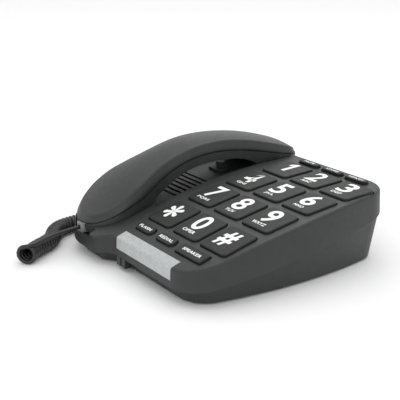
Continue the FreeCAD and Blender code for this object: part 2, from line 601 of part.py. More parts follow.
def build_base_electrics():
    """Main board, loudspeaker, microphone, hook switch, jacks and slide switches."""
    board = rounded_body("main_board_body", 76.0, 90.0, "<board_thick>", 2.0,
                         (32.0, 18.0, dim("main_board_z")))
    keep(board, "main_board")
    chips = [box("chip_1", (14.0, 10.0, 2.2), (30.0, 20.0, dim("main_board_z") + 1.6)),
             box("chip_2", (8.0, 8.0, 1.8), (52.0, 32.0, dim("main_board_z") + 1.6)),
             cylinder("capacitor_1", 4.0, 7.0, (14.0, 40.0, dim("main_board_z") + 1.6)),
             cylinder("capacitor_2", 3.0, 5.5, (26.0, 44.0, dim("main_board_z") + 1.6)),
             cylinder("buzzer", 6.0, 4.0, (56.0, 8.0, dim("main_board_z") + 1.6))]
    keep(fuse("board_components_solid", chips), "board_components")

    middle = dim("bay_middle")
    slots_middle = dim("slot_first_y") + (dim("slot_count") - 1) * dim("slot_pitch") / 2
    seat = on_deck(middle, slots_middle, dim("channel_depth") + dim("bay_wall") + 0.8)
    drop = dim("speaker_tall")
    frame = cylinder("speaker_frame", "<speaker_dia> / 2", 2.5, seat * Placement(Vector(0, 0, -2.5), UPRIGHT))
    basket = doc.addObject("Part::Cone", "speaker_basket")
    basket.Radius1, basket.Radius2, basket.Height = 11.0, dim("speaker_dia") / 2 - 1.0, 5.0
    basket.Placement = seat * Placement(Vector(0, 0, -7.5), UPRIGHT)
    magnet = cylinder("speaker_magnet", 11.0, drop - 7.5, seat * Placement(Vector(0, 0, -drop), UPRIGHT))
    hollow = doc.addObject("Part::Cone", "speaker_bowl")
    hollow.Radius1, hollow.Radius2, hollow.Height = 6.0, dim("speaker_dia") / 2 - 2.5, 5.5
    hollow.Placement = seat * Placement(Vector(0, 0, -5.5), UPRIGHT)
    keep(cut("loudspeaker_solid", fuse("speaker_body", [frame, basket, magnet]), hollow), "loudspeaker")
    paper = doc.addObject("Part::Cone", "speaker_paper")
    paper.Radius1, paper.Radius2, paper.Height = 5.5, dim("speaker_dia") / 2 - 5.4, 4.6
    paper.Placement = seat * Placement(Vector(0, 0, -5.3), UPRIGHT)
    keep(paper, "speaker_cone")

    hook = on_joint(middle, dim("hook_y"), 0.0)
    stem_bottom = 2.0
    stem_top = EAR_UNDERSIDE_RISE - dim("hook_clearance")
    keep(rounded_body("hook_plunger_body", 8.0, "<hook_stem>", stem_top - stem_bottom, 1.5,
                      hook * Placement(Vector(0, 0, stem_bottom), UPRIGHT), 0.8), "hook_plunger")
    switch = [box("hook_switch_case", (20.0, 6.0, 9.0), hook * Placement(Vector(0, 0, -9.5), UPRIGHT)),
              box("hook_switch_leaf", (15.0, 4.0, 0.6), hook * Placement(Vector(0, 0, 0.9), UPRIGHT)),
              box("hook_switch_hinge", (1.6, 4.0, 1.6), hook * Placement(Vector(-7.0, 0, -0.6), UPRIGHT))]
    keep(fuse("hook_switch_solid", switch), "hook_switch")
    keep(cylinder("base_microphone_can", 3.0, 3.0, (-8.5, -73.5, 14.5)), "base_microphone")

    x, z = LINE_JACK
    keep(cut("line_jack_solid", box("line_jack_block", (13.0, 15.0, 11.0), (x, 77.6, z - 5.5)),
             box("line_jack_space", (9.8, 12.0, 6.8), (x, 80.2, z - 3.4))), "line_jack")
    y, z = dim("base_plug_y"), dim("base_plug_z")
    keep(cut("cord_jack_solid", box("cord_jack_block", (14.0, 11.0, 10.0), (-77.4, y, z - 5.0)),
             box("cord_jack_space", (11.6, 7.9, 6.9), (-79.0, y, z - 3.45))), "cord_jack")
    for number, (name, x) in enumerate(zip(("ringer_slide", "dial_mode_slide"), SWITCH_PLACES), start=1):
        case = box(f"{name}_case", (11.0, 6.0, 6.0), (x, 74.6, 17.0))
        track = box(f"{name}_track", (8.6, 4.0, 2.9), (x, 76.6, 18.55))
        keep(cut(f"{name}_switch_solid", case, track), f"{name}_switch")
        knob = box(f"{name}_knob", (3.4, 8.4, 2.5), (x - 2.2, 79.4, 18.75))
        keep(knob, name)


def build_fittings():
    """Rubber feet, casing screws, the wall-hanging clip and the forked cord keeper."""
    feet = [cylinder(f"foot_{number}", 6.0, dim("foot_height") + 0.8, (x, y, 0.0))
            for number, (x, y) in enumerate(FOOT_PLACES, start=1)]
    keep(fuse("feet_solid", feet), "rubber_feet")
    screws = []
    for number, (x, y) in enumerate(BOSS_PLACES, start=1):
        head_top = joint_height(y) - 5.5
        screws.append(cylinder(f"screw_head_{number}", 2.5, 1.8, (x, y, head_top - 1.8)))
        screws.append(cylinder(f"screw_shank_{number}", 1.2, 13.0, (x, y, head_top - 0.2)))
    keep(fuse("casing_screws_solid", screws), "casing_screws")
    clip = on_deck(dim("bay_middle"), dim("clip_y"), dim("channel_depth"))
    foot = box("clip_foot", (10.6, 3.6, 6.5), clip * Placement(Vector(0, 0, -5.0), UPRIGHT))
    lip = box("clip_lip", (14.0, 9.0, 1.6), clip * Placement(Vector(0, 2.0, 0.1), UPRIGHT))
    nose = box("clip_nose", (10.6, 2.4, 3.0), clip * Placement(Vector(0, 5.0, 1.4), UPRIGHT))
    keep(fuse("clip_solid", [foot, lip, nose]), "handset_hanger")
    prongs = [box(f"keeper_prong_{number}", (4.7, 5.6, 6.7), (x, -85.3, 3.2))
              for number, x in enumerate((-9.6, -3.2), start=1)]
    bridge = box("keeper_bridge", (11.1, 1.8, 3.0), (-6.4, -83.4, 7.2))
    tab = box("keeper_tab", (6.0, 5.2, 1.8), (-6.4, -81.0, 7.8))
    keep(fuse("keeper_solid", prongs + [bridge, tab]), "cord_keeper")


# ---------------------------------------------------------------- handset

# side view, (y, z): the crowned top from mouth to ear, and the arch underneath from ear to mouth
HANDSET_CROWN = [(-88.4, 33.0), (-76.0, 40.4), (-64.0, 48.8), (-47.0, 58.2), (-25.0, 67.2), (-3.0, 73.0),
                 (19.0, 74.6), (41.0, 72.6), (61.0, 68.6), (78.0, 63.6), (90.0, 59.2)]
HANDSET_ARCH = [(56.5, 44.6), (50.0, 50.6), (38.0, 55.2), (19.0, 56.8), (2.0, 56.2),
                (-14.0, 52.5), (-31.0, 44.2), (-43.0, 37.0), (-48.5, 29.5), (-51.0, 21.5), (-55.0, 18.2)]
# plan view of one side, (distance from the middle, y): mouth, grip, ear
HANDSET_SIDE = [(27.0, -67.4), (26.2, -56.0), (22.8, -44.0), (19.8, -30.0), (19.0, -6.0), (19.0, 22.0),
                (21.2, 46.0), (24.8, 61.0), (26.0, 72.0)]
SHELL_LINE = [(-112.0, 12.0), (-94.0, 22.2), (-86.0, 26.8), (-77.0, 31.8), (-60.0, 38.6), (-44.0, 45.9),
              (-28.0, 54.0), (-10.0, 60.6), (14.0, 63.5), (46.0, 60.5), (75.0, 55.0), (112.0, 49.0)]


# the screws that hold the shells together: their end, y, and the heights of the head's seat and the tip
SHELL_SCREWS = [("ear", 62.0, 44.5, 62.0), ("mouth", -57.0, 20.2, 45.0)]


def handset_side(wall=0.0):
    """Side outline of the handset, or of the hollow inside its walls: crown, ear end, arch and mouth end."""
    front, back = dim("handset_front"), dim("handset_back")
    ear_end = [(back - 1.0, 55.4), (back, 51.0), (back - 2.0, 46.8),
               (88.0, joint_height(88.0, EAR_UNDERSIDE_RISE))]
    ear_heel = (60.0, joint_height(60.0, EAR_UNDERSIDE_RISE))
    mouth_end = [(-86.0, 13.2), (front + 2.0, 16.0), (front, 22.0), (front + 1.2, 28.6)]
    loop = HANDSET_CROWN + ear_end + [ear_heel] + HANDSET_ARCH + mouth_end
    spots = []
    for number, (y, z) in enumerate(loop):
        before, after = loop[number - 1], loop[(number + 1) % len(loop)]
        run, rise = after[0] - before[0], after[1] - before[1]
        length = math.hypot(run, rise)
        spots.append((y + wall * rise / length, z - wall * run / length))

    def bend(start):
        """An arc through three neighbouring points of the loop."""
        chosen = [spots[(start + step) % len(spots)] for step in range(3)]
        return Part.Arc(*[Vector(*spot, 0) for spot in chosen])

    ear, heel = len(HANDSET_CROWN) - 1, len(HANDSET_CROWN) + len(ear_end)
    lip = heel + len(HANDSET_ARCH)
    return [smooth(spots[:ear + 1]), bend(ear), bend(ear + 2), flat(spots[heel - 1:heel + 1])[0],
            smooth(spots[heel:lip + 1]), flat(spots[lip:lip + 2])[0], bend(lip + 1), bend(lip + 3)]


def handset_plan(wall=0.0):
    """Plan outline of the handset, or of the hollow inside its walls: broad mouth end, slim grip, ear end."""
    front, back = dim("handset_front") + wall, dim("handset_back") - wall
    corner, ear_corner = dim("mouth_corner") - wall, dim("ear_corner") - wall
    sides = [(x - wall, y) for x, y in HANDSET_SIDE]
    nose, ear_nose = dim("mouth_half_width") - dim("mouth_corner"), dim("ear_half_width") - dim("ear_corner")
    edges = flat([(-nose, front), (nose, front)]) + flat([(ear_nose, back), (-ear_nose, back)])
    for hand, mouth_turn, ear_turn in ((1, (-90, 0), (0, 90)), (-1, (180, 270), (90, 180))):
        edges += [arc((hand * nose, front + corner), corner, *mouth_turn),
                  smooth([(hand * x, y) for x, y in sides]),
                  arc((hand * ear_nose, back - ear_corner), ear_corner, *ear_turn)]
        edges += flat([(hand * sides[-1][0], sides[-1][1]), (hand * sides[-1][0], back - ear_corner)])
    return edges


def build_handset():
    """The handset: two shells that meet on a line along the sides, and the pieces inside them."""
    middle = dim("bay_middle")
    side = across("handset_side", handset_side(), 40.0, middle)
    plan = extrusion("handset_plan", handset_plan(), 100.0, Placement(Vector(middle, 0, 0), UPRIGHT))
    blank = common("handset_blank", side, plan)
    wall = dim("shell_wall")
    inside = common("handset_inside", across("inside_side", handset_side(wall), 40.0, middle),
                    extrusion("inside_plan", handset_plan(wall), 100.0, plan.Base.Placement))
    top = 110.0
    over = [smooth(SHELL_LINE)] + flat([SHELL_LINE[-1], (SHELL_LINE[-1][0], top), (SHELL_LINE[0][0], top),
                                        SHELL_LINE[0]])
    upper_half = across("above_shell_line", over, 50.0, middle)
    hollow = cut("handset_skin", blank, inside)
    front = dim("handset_front")
    mouth_floor, ear_floor = 14.0, joint_height(RECEIVER_Y, EAR_UNDERSIDE_RISE) - 3.5
    holes = [box("handset_plug_hole", (dim("plug_width") + 0.6, 8.0, dim("plug_tall") + 0.6),
                 (middle, front + 3.0, dim("plug_z") - dim("plug_tall") / 2 - 0.3))]
    for ring, (count, radius) in enumerate(((1, 0.0), (6, 6.0), (10, 11.0))):
        for number in range(count):
            turn = 2 * math.pi * number / count
            place = (middle + radius * math.cos(turn), RECEIVER_Y + radius * math.sin(turn), ear_floor)
            holes.append(cylinder(f"ear_hole_{ring}_{number}", 1.1, 8.0, place))
    for number in range(5):
        place = (middle - 8.0 + 4.0 * number, MOUTHPIECE_Y, mouth_floor)
        holes.append(box(f"mouth_slot_{number + 1}", (1.6, 9.0, 7.0), place))
    posts, bores = [], []
    for end, y, seat, tip in SHELL_SCREWS:
        posts.append(cylinder(f"handset_post_{end}", 3.2, 40.0, (middle, y, seat - 4.0)))
        bores.append(cylinder(f"handset_pilot_{end}", 1.0, tip + 1.5 - seat, (middle, y, seat)))
        bores.append(cylinder(f"handset_recess_{end}", 2.4, 8.0, (middle, y, seat - 8.0)))
    posts = common("handset_posts", fuse("handset_post_bars", posts), blank)
    full = cut("handset_open", fuse("handset_shells", [hollow, posts]),
               fuse("handset_openings", holes + bores))
    keep(common("handset_upper", full, upper_half), "handset_upper_shell")
    keep(cut("handset_lower", full, upper_half), "handset_lower_shell")
    build_handset_contents(middle, front)


def build_handset_contents(middle, front):
    """Earphone, mouthpiece microphone, ballast, plug socket and the two shell screws."""
    ear = on_joint(middle, RECEIVER_Y, EAR_UNDERSIDE_RISE + dim("shell_wall") + 0.3)
    magnet = cylinder("receiver_back", 8.0, 3.0, ear * Placement(Vector(0, 0, 5.0), UPRIGHT))
    keep(fuse("receiver_solid", [cylinder("receiver_can", 13.0, 5.0, ear), magnet]), "receiver_capsule")
    mouth = on_joint(middle, MOUTHPIECE_Y, 5.4)
    keep(cut("mouth_gasket_solid", cylinder("mouth_gasket_ring", 6.5, 5.0, mouth),
             cylinder("mouth_gasket_hole", 4.9, 6.0, mouth)), "microphone_gasket")
    keep(cylinder("transmitter_can", 4.85, 5.0, mouth), "transmitter_microphone")
    keep(box("ballast_bar", (16.0, 34.0, 5.0), (middle, 16.0, 61.0)), "ballast_weight")
    z = dim("plug_z")
    jack = box("handset_jack_block", (12.0, 9.4, 8.4), (middle, front + 9.7, z - 2.6))
    space = box("handset_jack_space", (dim("plug_width") + 0.3, 6.0, dim("plug_tall") + 0.3),
                (middle, front + 3.2, z - dim("plug_tall") / 2 - 0.15))
    keep(cut("handset_jack_solid", jack, space), "handset_jack")
    screws = []
    for end, y, seat, tip in SHELL_SCREWS:
        screws.append(cylinder(f"{end}_screw_head", 2.2, 1.6, (middle, y, seat - 1.6)))
        screws.append(cylinder(f"{end}_screw_shank", 0.95, tip + 0.5 - seat, (middle, y, seat - 0.5)))
    keep(fuse("handset_screws_solid", screws), "handset_screws")


# ---------------------------------------------------------------- cord

# the straight lead from the handset's plug to the coil's free end
LEAD_ROUTE = [(-55.5, -94.6, 19.5), (-55.7, -109.0, 18.4), (-55.3, -124.0, 15.8), (-53.6, -137.0, 12.2)]
# the middle of the coil, round the front left corner of the base
COIL_ROUTE = [(-53.0, -139.4, 6.6), (-60.8, -130.6, 6.6), (-66.6, -120.8, 6.6), (-71.4, -112.2, 6.6),
              (-78.4, -105.6, 6.6), (-87.0, -100.8, 6.6), (-94.0, -93.6, 6.6), (-97.6, -84.0, 6.6),
              (-98.8, -73.0, 6.6)]
# the lead from the coil's end along the base's left side into the socket there
TAIL_ROUTE = [(-98.8, -73.0, 6.6), (-99.0, -60.0, 4.8), (-98.2, -45.0, 2.8), (-98.8, -29.0, 2.2),
              (-100.8, -15.0, 2.6), (-103.8, -3.5, 3.8), (-105.8, 6.5, 5.4), (-104.4, 15.6, 8.2),
              (-98.6, 21.0, 10.0), (-91.4, 22.0, 10.0)]


def route_wire(name, points):
    """Straight runs joined by tangent arcs, each as large as its two runs allow."""
    spots = [Vector(*point) for point in points]
    edges, start = [], spots[0]
    radii = []
    for before, corner, after in zip(spots, spots[1:], spots[2:]):
        way_in, way_out = (corner - before).normalize(), (after - corner).normalize()
        turn = way_in.getAngle(way_out)
        reach = 0.45 * min((corner - before).Length, (after - corner).Length)
        radii.append(round(reach / math.tan(turn / 2), 1))
        first, last = corner - way_in * reach, corner + way_out * reach
        inward = (way_out - way_in).normalize()
        depth = radii[-1] * (1 / math.cos(turn / 2) - 1)
        edges += [Part.LineSegment(start, first).toShape(),
                  Part.Arc(first, corner + inward * depth, last).toShape()]
        start = last
    edges.append(Part.LineSegment(start, spots[-1]).toShape())
    print(f"{name}: radii {radii}")
    return Part.Wire(edges)


def tube(name, points, diameter):
    """A round tube swept along a route."""
    wire = route_wire(name, points)
    start, way = Vector(*points[0]), Vector(*points[1]) - Vector(*points[0])
    ring = Part.Wire([Part.Circle(start, way, diameter / 2).toShape()])
    solid = doc.addObject("Part::Feature", name + "_tube")
    solid.Shape = wire.makePipeShell([ring], True, True)
    section = math.pi * diameter ** 2 / 4
    print(f"{name}: length {wire.Length:.1f}, volume over section times length "
          f"{solid.Shape.Volume / (section * wire.Length):.4f}")
    return keep(solid, name)


def plug(name, place, outside):
    """A small clear modular plug that stands a given length out of its socket, along the placement's Y axis."""
    long = dim("plug_inside") + outside
    block = box(f"{name}_block", ("<plug_width>", long, "<plug_tall>"),
                place * Placement(Vector(0, long / 2 - outside, -dim("plug_tall") / 2), UPRIGHT))
    return keep(block, name)


def build_cord():
    """Both plugs, the two plain stretches of lead and the coil."""
    front = dim("handset_front")
    plug("handset_plug", Placement(Vector(dim("bay_middle"), front - 1.0, dim("plug_z")), UPRIGHT), 1.0)
    plug("base_plug", Placement(Vector(-86.9, dim("base_plug_y"), dim("base_plug_z")),
                                Rotation(UP, -90)), 4.5)
    tube("cord_lead", LEAD_ROUTE, dim("lead_dia"))
    tube("cord_coil", COIL_ROUTE, dim("coil_dia"))
    tube("cord_tail", TAIL_ROUTE, dim("lead_dia"))


upper_casing, form, hollow = build_upper_casing()
build_lower_casing()
build_lens(form, hollow)
build_keys()
build_keypad_stack()
build_ringer_lamps()
build_base_electrics()
build_fittings()
build_handset()
build_cord()
doc.recompute()

failed = [item.Name for item in doc.Objects if "Invalid" in item.State or "Error" in item.State]
failed += [part.Label for part in SUBPARTS if part.Shape.isNull() or not part.Shape.isValid()]
if failed:
    raise RuntimeError(f"these pieces did not build: {failed}")
os.makedirs("parts", exist_ok=True)
for part in SUBPARTS:
    part.Shape.exportStep(f"parts/{part.Label}.step")
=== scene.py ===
"""Corded desk telephone with large keys: its finishes, legends, handset shell and coiled cord."""
import logging
import math
from collections.abc import Callable
from dataclasses import dataclass, field
from enum import Enum

import bmesh
import bpy
from mathutils import Matrix, Vector


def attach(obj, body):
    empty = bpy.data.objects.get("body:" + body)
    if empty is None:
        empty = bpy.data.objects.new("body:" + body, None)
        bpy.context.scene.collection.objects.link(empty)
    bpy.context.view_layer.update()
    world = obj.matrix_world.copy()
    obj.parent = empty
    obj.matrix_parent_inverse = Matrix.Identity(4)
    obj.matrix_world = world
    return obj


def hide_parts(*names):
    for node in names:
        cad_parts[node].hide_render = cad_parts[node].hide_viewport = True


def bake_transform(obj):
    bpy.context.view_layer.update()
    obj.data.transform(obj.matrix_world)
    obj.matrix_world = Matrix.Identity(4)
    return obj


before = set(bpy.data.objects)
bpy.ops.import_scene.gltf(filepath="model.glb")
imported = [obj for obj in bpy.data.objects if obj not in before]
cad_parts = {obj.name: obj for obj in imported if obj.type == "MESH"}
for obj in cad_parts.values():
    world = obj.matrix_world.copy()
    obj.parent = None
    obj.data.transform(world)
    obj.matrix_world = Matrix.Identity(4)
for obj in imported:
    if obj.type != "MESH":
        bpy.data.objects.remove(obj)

LOG = logging.getLogger("telephone")
MM = 0.001
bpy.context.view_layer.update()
Point = tuple[float, float, float]
Drawn = tuple[list[Vector], list[list[int]]]
# sockets of a Mix node that mixes colours: its two inputs and its result
MIX_FIRST, MIX_SECOND, MIX_RESULT = 6, 7, 2
WELD_DISTANCE = 1e-6


# ---------------------------------------------------------------- small helpers


def linear(hex_colour: str) -> tuple[float, float, float, float]:
    """Turns an sRGB hex colour into linear light.

    Args:
        hex_colour: six hex digits after a hash.

    Returns:
        Linear red, green and blue, with an alpha of 1.
    """
    parts = [int(hex_colour[place:place + 2], 16) / 255 for place in (1, 3, 5)]
    red, green, blue = (part / 12.92 if part <= 0.04045 else ((part + 0.055) / 1.055) ** 2.4
                        for part in parts)
    return red, green, blue, 1.0


def per_mm(size: float) -> float:
    """Texture scale for a pattern whose features are this many millimetres across."""
    return 1.0 / (size * MM)


def add_node(tree: bpy.types.NodeTree, kind: str, settings: dict, links: dict) -> bpy.types.Node:
    """Adds a shader node with its settings and its links.

    Args:
        tree: the node tree of a material.
        kind: the node's type name.
        settings: values of input sockets, or of the node's own properties.
        links: output sockets by the name of the input that they feed.

    Returns:
        The new node.
    """
    made = tree.nodes.new(kind)
    for name, value in settings.items():
        if name in made.inputs:
            made.inputs[name].default_value = value
        else:
            setattr(made, name, value)
    for name, socket in links.items():
        tree.links.new(socket, made.inputs[name])
    return made


def plain_material(name: str) -> tuple[bpy.types.Material, bpy.types.Node]:
    """Makes a material that has only its shader.

    Args:
        name: the material's name.

    Returns:
        The material and its shader node.
    """
    material = bpy.data.materials.new(name)
    material.use_nodes = True
    return material, material.node_tree.nodes["Principled BSDF"]


def drawn_by(data: bpy.types.Curve) -> Drawn:
    """Reads the shape that a curve or a text makes, and clears it away.

    Args:
        data: the curve or text.

    Returns:
        Its points and faces.
    """
    holder = bpy.data.objects.new(data.name, data)
    mesh = bpy.data.meshes.new_from_object(holder)
    spots = [vertex.co.copy() for vertex in mesh.vertices]
    faces = [list(face.vertices) for face in mesh.polygons]
    bpy.data.meshes.remove(mesh)
    bpy.data.objects.remove(holder)
    bpy.data.curves.remove(data)
    return spots, faces


def mesh_piece(name: str, points: list, faces: list, finish: bpy.types.Material) -> bpy.types.Object:
    """Makes a smooth-shaded mesh piece.

    Args:
        name: the piece's name.
        points: corners in metres.
        faces: lists of indices into the points.
        finish: the piece's material.

    Returns:
        The new object, linked to the scene.
    """
    mesh = bpy.data.meshes.new(name)
    mesh.from_pydata([tuple(point) for point in points], [], faces)
    welded = bmesh.new()
    welded.from_mesh(mesh)
    bmesh.ops.remove_doubles(welded, verts=welded.verts, dist=WELD_DISTANCE)
    bmesh.ops.recalc_face_normals(welded, faces=welded.faces)
    welded.to_mesh(mesh)
    welded.free()
    mesh.shade_smooth()
    mesh.materials.append(finish)
    piece = bpy.data.objects.new(name, mesh)
    bpy.context.scene.collection.objects.link(piece)
    return piece


def between(table: list[tuple[float, float]], place: float) -> float:
    """Smooth height of a tabled line at a place, by a monotone cubic between its points.

    Args:
        table: (place, height) pairs in rising order.
        place: where the height is wanted; beyond the ends the line stays level.

    Returns:
        The height there.
    """
    if place <= table[0][0]:
        return table[0][1]
    if place >= table[-1][0]:
        return table[-1][1]
    slopes = [(after[1] - before[1]) / (after[0] - before[0]) for before, after in zip(table, table[1:])]
    tangents = [slopes[0]] + [(first + second) / 2 if first * second > 0 else 0.0
                              for first, second in zip(slopes, slopes[1:])] + [slopes[-1]]
    index = next(number for number in range(len(slopes)) if place <= table[number + 1][0])
    (start, low), (end, high) = table[index], table[index + 1]
    run = end - start
    part = (place - start) / run
    square, cube = part * part, part ** 3
    return ((2 * cube - 3 * square + 1) * low + (cube - 2 * square + part) * run * tangents[index]
            + (3 * square - 2 * cube) * high + (cube - square) * run * tangents[index + 1])


# ---------------------------------------------------------------- finishes


@dataclass(frozen=True)
class Moulded:
    """A moulded polymer: its colour, the texture of the mould, and lighter edges that are partly handling
    wear and partly painted highlight.
    """

    name: str
    colour: str
    # colour that edges and mottle lighten towards: worn plastic, and painted highlight on the edges
    worn_and_highlight_colour: str
    roughness: float
    grain_mm: float
    grain_depth_mm: float
    # how strongly edges are lightened, both for wear and as painted highlight
    wear_and_highlight: float = 0.35
    ior: float = 1.54
    specular: float = 0.5
    transmission: float = 0.0

    def build(self) -> bpy.types.Material:
        """Makes the material: mottled colour, edges painted lighter for wear and as highlight, uneven polish
        and the mould's grain.

        Returns:
            The material.
        """
        material, shader = plain_material(self.name)
        tree = material.node_tree
        shader.inputs["IOR"].default_value = self.ior
        shader.inputs["Specular IOR Level"].default_value = self.specular
        shader.inputs["Transmission Weight"].default_value = self.transmission
        place = add_node(tree, "ShaderNodeTexCoord", {}, {}).outputs["Object"]
        # broad cloudiness of the pigment, about the size of a fingertip
        cloud = add_node(tree, "ShaderNodeTexNoise", {"Scale": per_mm(14.0), "Detail": 3.0},
                         {"Vector": place})
        # edges painted lighter: partly the polish that hands and cloth leave, partly painted highlight where
        # the edges catch the light
        bend = add_node(tree, "ShaderNodeNewGeometry", {}, {})
        edge_wear_and_highlight = add_node(tree, "ShaderNodeMapRange", {"From Min": 0.52, "From Max": 0.62, "To Min": 0.0,
                                                     "To Max": self.wear_and_highlight},
                        {"Value": bend.outputs["Pointiness"]})
        # scuffs a few millimetres long, which break up the lighter edges (wear and painted highlight alike)
        # and the polish
        scuff = add_node(tree, "ShaderNodeTexNoise", {"Scale": per_mm(3.0), "Detail": 4.0},
                         {"Vector": place})
        patch = add_node(tree, "ShaderNodeMath", {"operation": "MULTIPLY"}, {})
        tree.links.new(edge_wear_and_highlight.outputs["Result"], patch.inputs[0])
        tree.links.new(scuff.outputs["Fac"], patch.inputs[1])
        mottle = add_node(tree, "ShaderNodeMapRange", {"From Min": 0.3, "From Max": 0.7, "To Min": 0.0,
                                                       "To Max": 0.12}, {"Value": cloud.outputs["Fac"]})
        amount = add_node(tree, "ShaderNodeMath", {"operation": "ADD", "use_clamp": True}, {})
        tree.links.new(mottle.outputs["Result"], amount.inputs[0])
        tree.links.new(patch.outputs["Value"], amount.inputs[1])
        colour = add_node(tree, "ShaderNodeMix", {"data_type": "RGBA"}, {"Factor": amount.outputs["Value"]})
        colour.inputs[MIX_FIRST].default_value = linear(self.colour)
        colour.inputs[MIX_SECOND].default_value = linear(self.worn_and_highlight_colour)
        tree.links.new(colour.outputs[MIX_RESULT], shader.inputs["Base Color"])
        polish = add_node(tree, "ShaderNodeMapRange", {"From Min": 0.25, "From Max": 0.75,
                                                       "To Min": self.roughness - 0.06,
                                                       "To Max": self.roughness + 0.05},
                          {"Value": scuff.outputs["Fac"]})
        tree.links.new(polish.outputs["Result"], shader.inputs["Roughness"])
        grain = add_node(tree, "ShaderNodeTexNoise", {"Scale": per_mm(self.grain_mm), "Detail": 2.0},
                         {"Vector": place})
        bump = add_node(tree, "ShaderNodeBump", {"Strength": 0.6, "Distance": self.grain_depth_mm * MM},
                        {"Height": grain.outputs["Fac"]})
        tree.links.new(bump.outputs["Normal"], shader.inputs["Normal"])
        return material


@dataclass(frozen=True)
class Metal:
    """A drawn or stamped metal with fine scratches."""

    name: str
    colour: str
    roughness: float
    scratched: str = "#2E2E2E"

    def build(self) -> bpy.types.Material:
        """Makes the material, its polish broken by fine drawing marks.

        Returns:
            The material.
        """
        material, shader = plain_material(self.name)
        tree = material.node_tree
        shader.inputs["Metallic"].default_value = 1.0
        place = add_node(tree, "ShaderNodeTexCoord", {}, {}).outputs["Object"]
        # drawing marks, as coarse as they need to be to show
        marks = add_node(tree, "ShaderNodeTexNoise", {"Scale": per_mm(0.6), "Detail": 5.0},
                         {"Vector": place})
        brightness = add_node(tree, "ShaderNodeMapRange", {"To Min": 0.75, "To Max": 1.0},
                              {"Value": marks.outputs["Fac"]})
        tint = add_node(tree, "ShaderNodeMix", {"data_type": "RGBA"},
                        {"Factor": brightness.outputs["Result"]})
        tint.inputs[MIX_FIRST].default_value = linear(self.scratched)
        tint.inputs[MIX_SECOND].default_value = linear(self.colour)
        tree.links.new(tint.outputs[MIX_RESULT], shader.inputs["Base Color"])
        polish = add_node(tree, "ShaderNodeMapRange", {"To Min": self.roughness - 0.1,
                                                       "To Max": self.roughness + 0.1},
                          {"Value": marks.outputs["Fac"]})
        tree.links.new(polish.outputs["Result"], shader.inputs["Roughness"])
        bump = add_node(tree, "ShaderNodeBump", {"Strength": 0.3, "Distance": 0.02 * MM},
                        {"Height": marks.outputs["Fac"]})
        tree.links.new(bump.outputs["Normal"], shader.inputs["Normal"])
        return material


class Finish(Enum):
    """Every finish of the telephone, named for its material."""

    # ABS from a spark-eroded mould: the eye sees a dull, even, slightly sparkling charcoal
    BASE = Moulded("spark_textured_abs", "#1B1D1C", "#343736", 0.5, 0.5, 0.035)
    TRAY = Moulded("spark_textured_abs_tray", "#202323", "#3C4040", 0.5, 0.5, 0.035)
    # the handset's lighter crease edges and the keys' lighter rims are painted highlight as well as wear
    HANDSET = Moulded("fine_textured_abs_handset", "#1C1E1D", "#3A3C3B", 0.46, 0.45, 0.025, wear_and_highlight=0.5)
    KEY = Moulded("satin_abs_keys", "#121413", "#424544", 0.54, 0.4, 0.015, wear_and_highlight=0.8, specular=0.34)
    # frosted polycarbonate: milky, a little see-through, brighter where its edges gather light
    LENS = Moulded("frosted_polycarbonate", "#9A9E9F", "#C9CDCE", 0.42, 0.8, 0.03, wear_and_highlight=1.0, ior=1.585,
                   transmission=0.12)
    # clear polycarbonate, dark where the socket shows through, with its edges painted light as highlights
    PLUG = Moulded("clear_polycarbonate", "#6E7476", "#D8DCDE", 0.12, 1.2, 0.01, wear_and_highlight=0.8, ior=1.585,
                   transmission=0.35)
    JACKET = Moulded("flexible_pvc_jacket", "#0E0F0F", "#242626", 0.33, 0.7, 0.01, ior=1.53)
    RUBBER = Moulded("moulded_rubber", "#191919", "#3A3A3A", 0.8, 0.5, 0.05, ior=1.52)
    SILICONE = Moulded("silicone_rubber_mat", "#8E9294", "#B8BCBE", 0.6, 0.6, 0.02, ior=1.43)
    SOCKET = Moulded("glass_filled_nylon", "#1B1C1D", "#3C3E40", 0.5, 0.5, 0.03)
    INK = Moulded("pad_printed_ink", "#F2F3F1", "#FFFFFF", 0.55, 0.3, 0.008, wear_and_highlight=0.2, ior=1.5)
    BOARD = Moulded("solder_masked_laminate", "#1E4A2E", "#6F8C5A", 0.35, 1.0, 0.02)
    PAPER = Moulded("pressed_paper_cone", "#2A2723", "#4C463D", 0.85, 0.6, 0.06)
    EPOXY = Moulded("cast_epoxy", "#A02018", "#D8685C", 0.15, 1.0, 0.005, transmission=0.3)
    SCREW = Metal("zinc_plated_steel", "#C4C6C2", 0.35)
    HOUSING = Metal("tin_plated_steel", "#B9BBBC", 0.3)


NODE_FINISHES = {
    "upper_casing": Finish.BASE, "cord_keeper": Finish.TRAY, "handset_hanger": Finish.BASE,
    "lower_casing": Finish.TRAY, "handset_upper_shell": Finish.HANDSET,
    "handset_lower_shell": Finish.HANDSET, "hook_plunger": Finish.KEY,
    "ringer_lens": Finish.LENS, "rubber_feet": Finish.RUBBER, "keypad_mat": Finish.SILICONE,
    "keypad_board": Finish.BOARD, "main_board": Finish.BOARD, "lamp_board": Finish.BOARD,
    "board_components": Finish.SOCKET, "casing_screws": Finish.SCREW, "handset_screws": Finish.SCREW,
    "loudspeaker": Finish.HOUSING, "speaker_cone": Finish.PAPER, "receiver_capsule": Finish.HOUSING,
    "transmitter_microphone": Finish.HOUSING, "base_microphone": Finish.HOUSING,
    "microphone_gasket": Finish.RUBBER, "ballast_weight": Finish.SCREW, "hook_switch": Finish.SOCKET,
    "handset_plug": Finish.PLUG, "base_plug": Finish.PLUG, "cord_lead": Finish.JACKET,
    "cord_coil": Finish.JACKET, "cord_tail": Finish.JACKET,
}
NAME_FINISHES = {"key_": Finish.KEY, "ringer_lamp": Finish.EPOXY, "jack": Finish.SOCKET,
                 "slide": Finish.SOCKET}


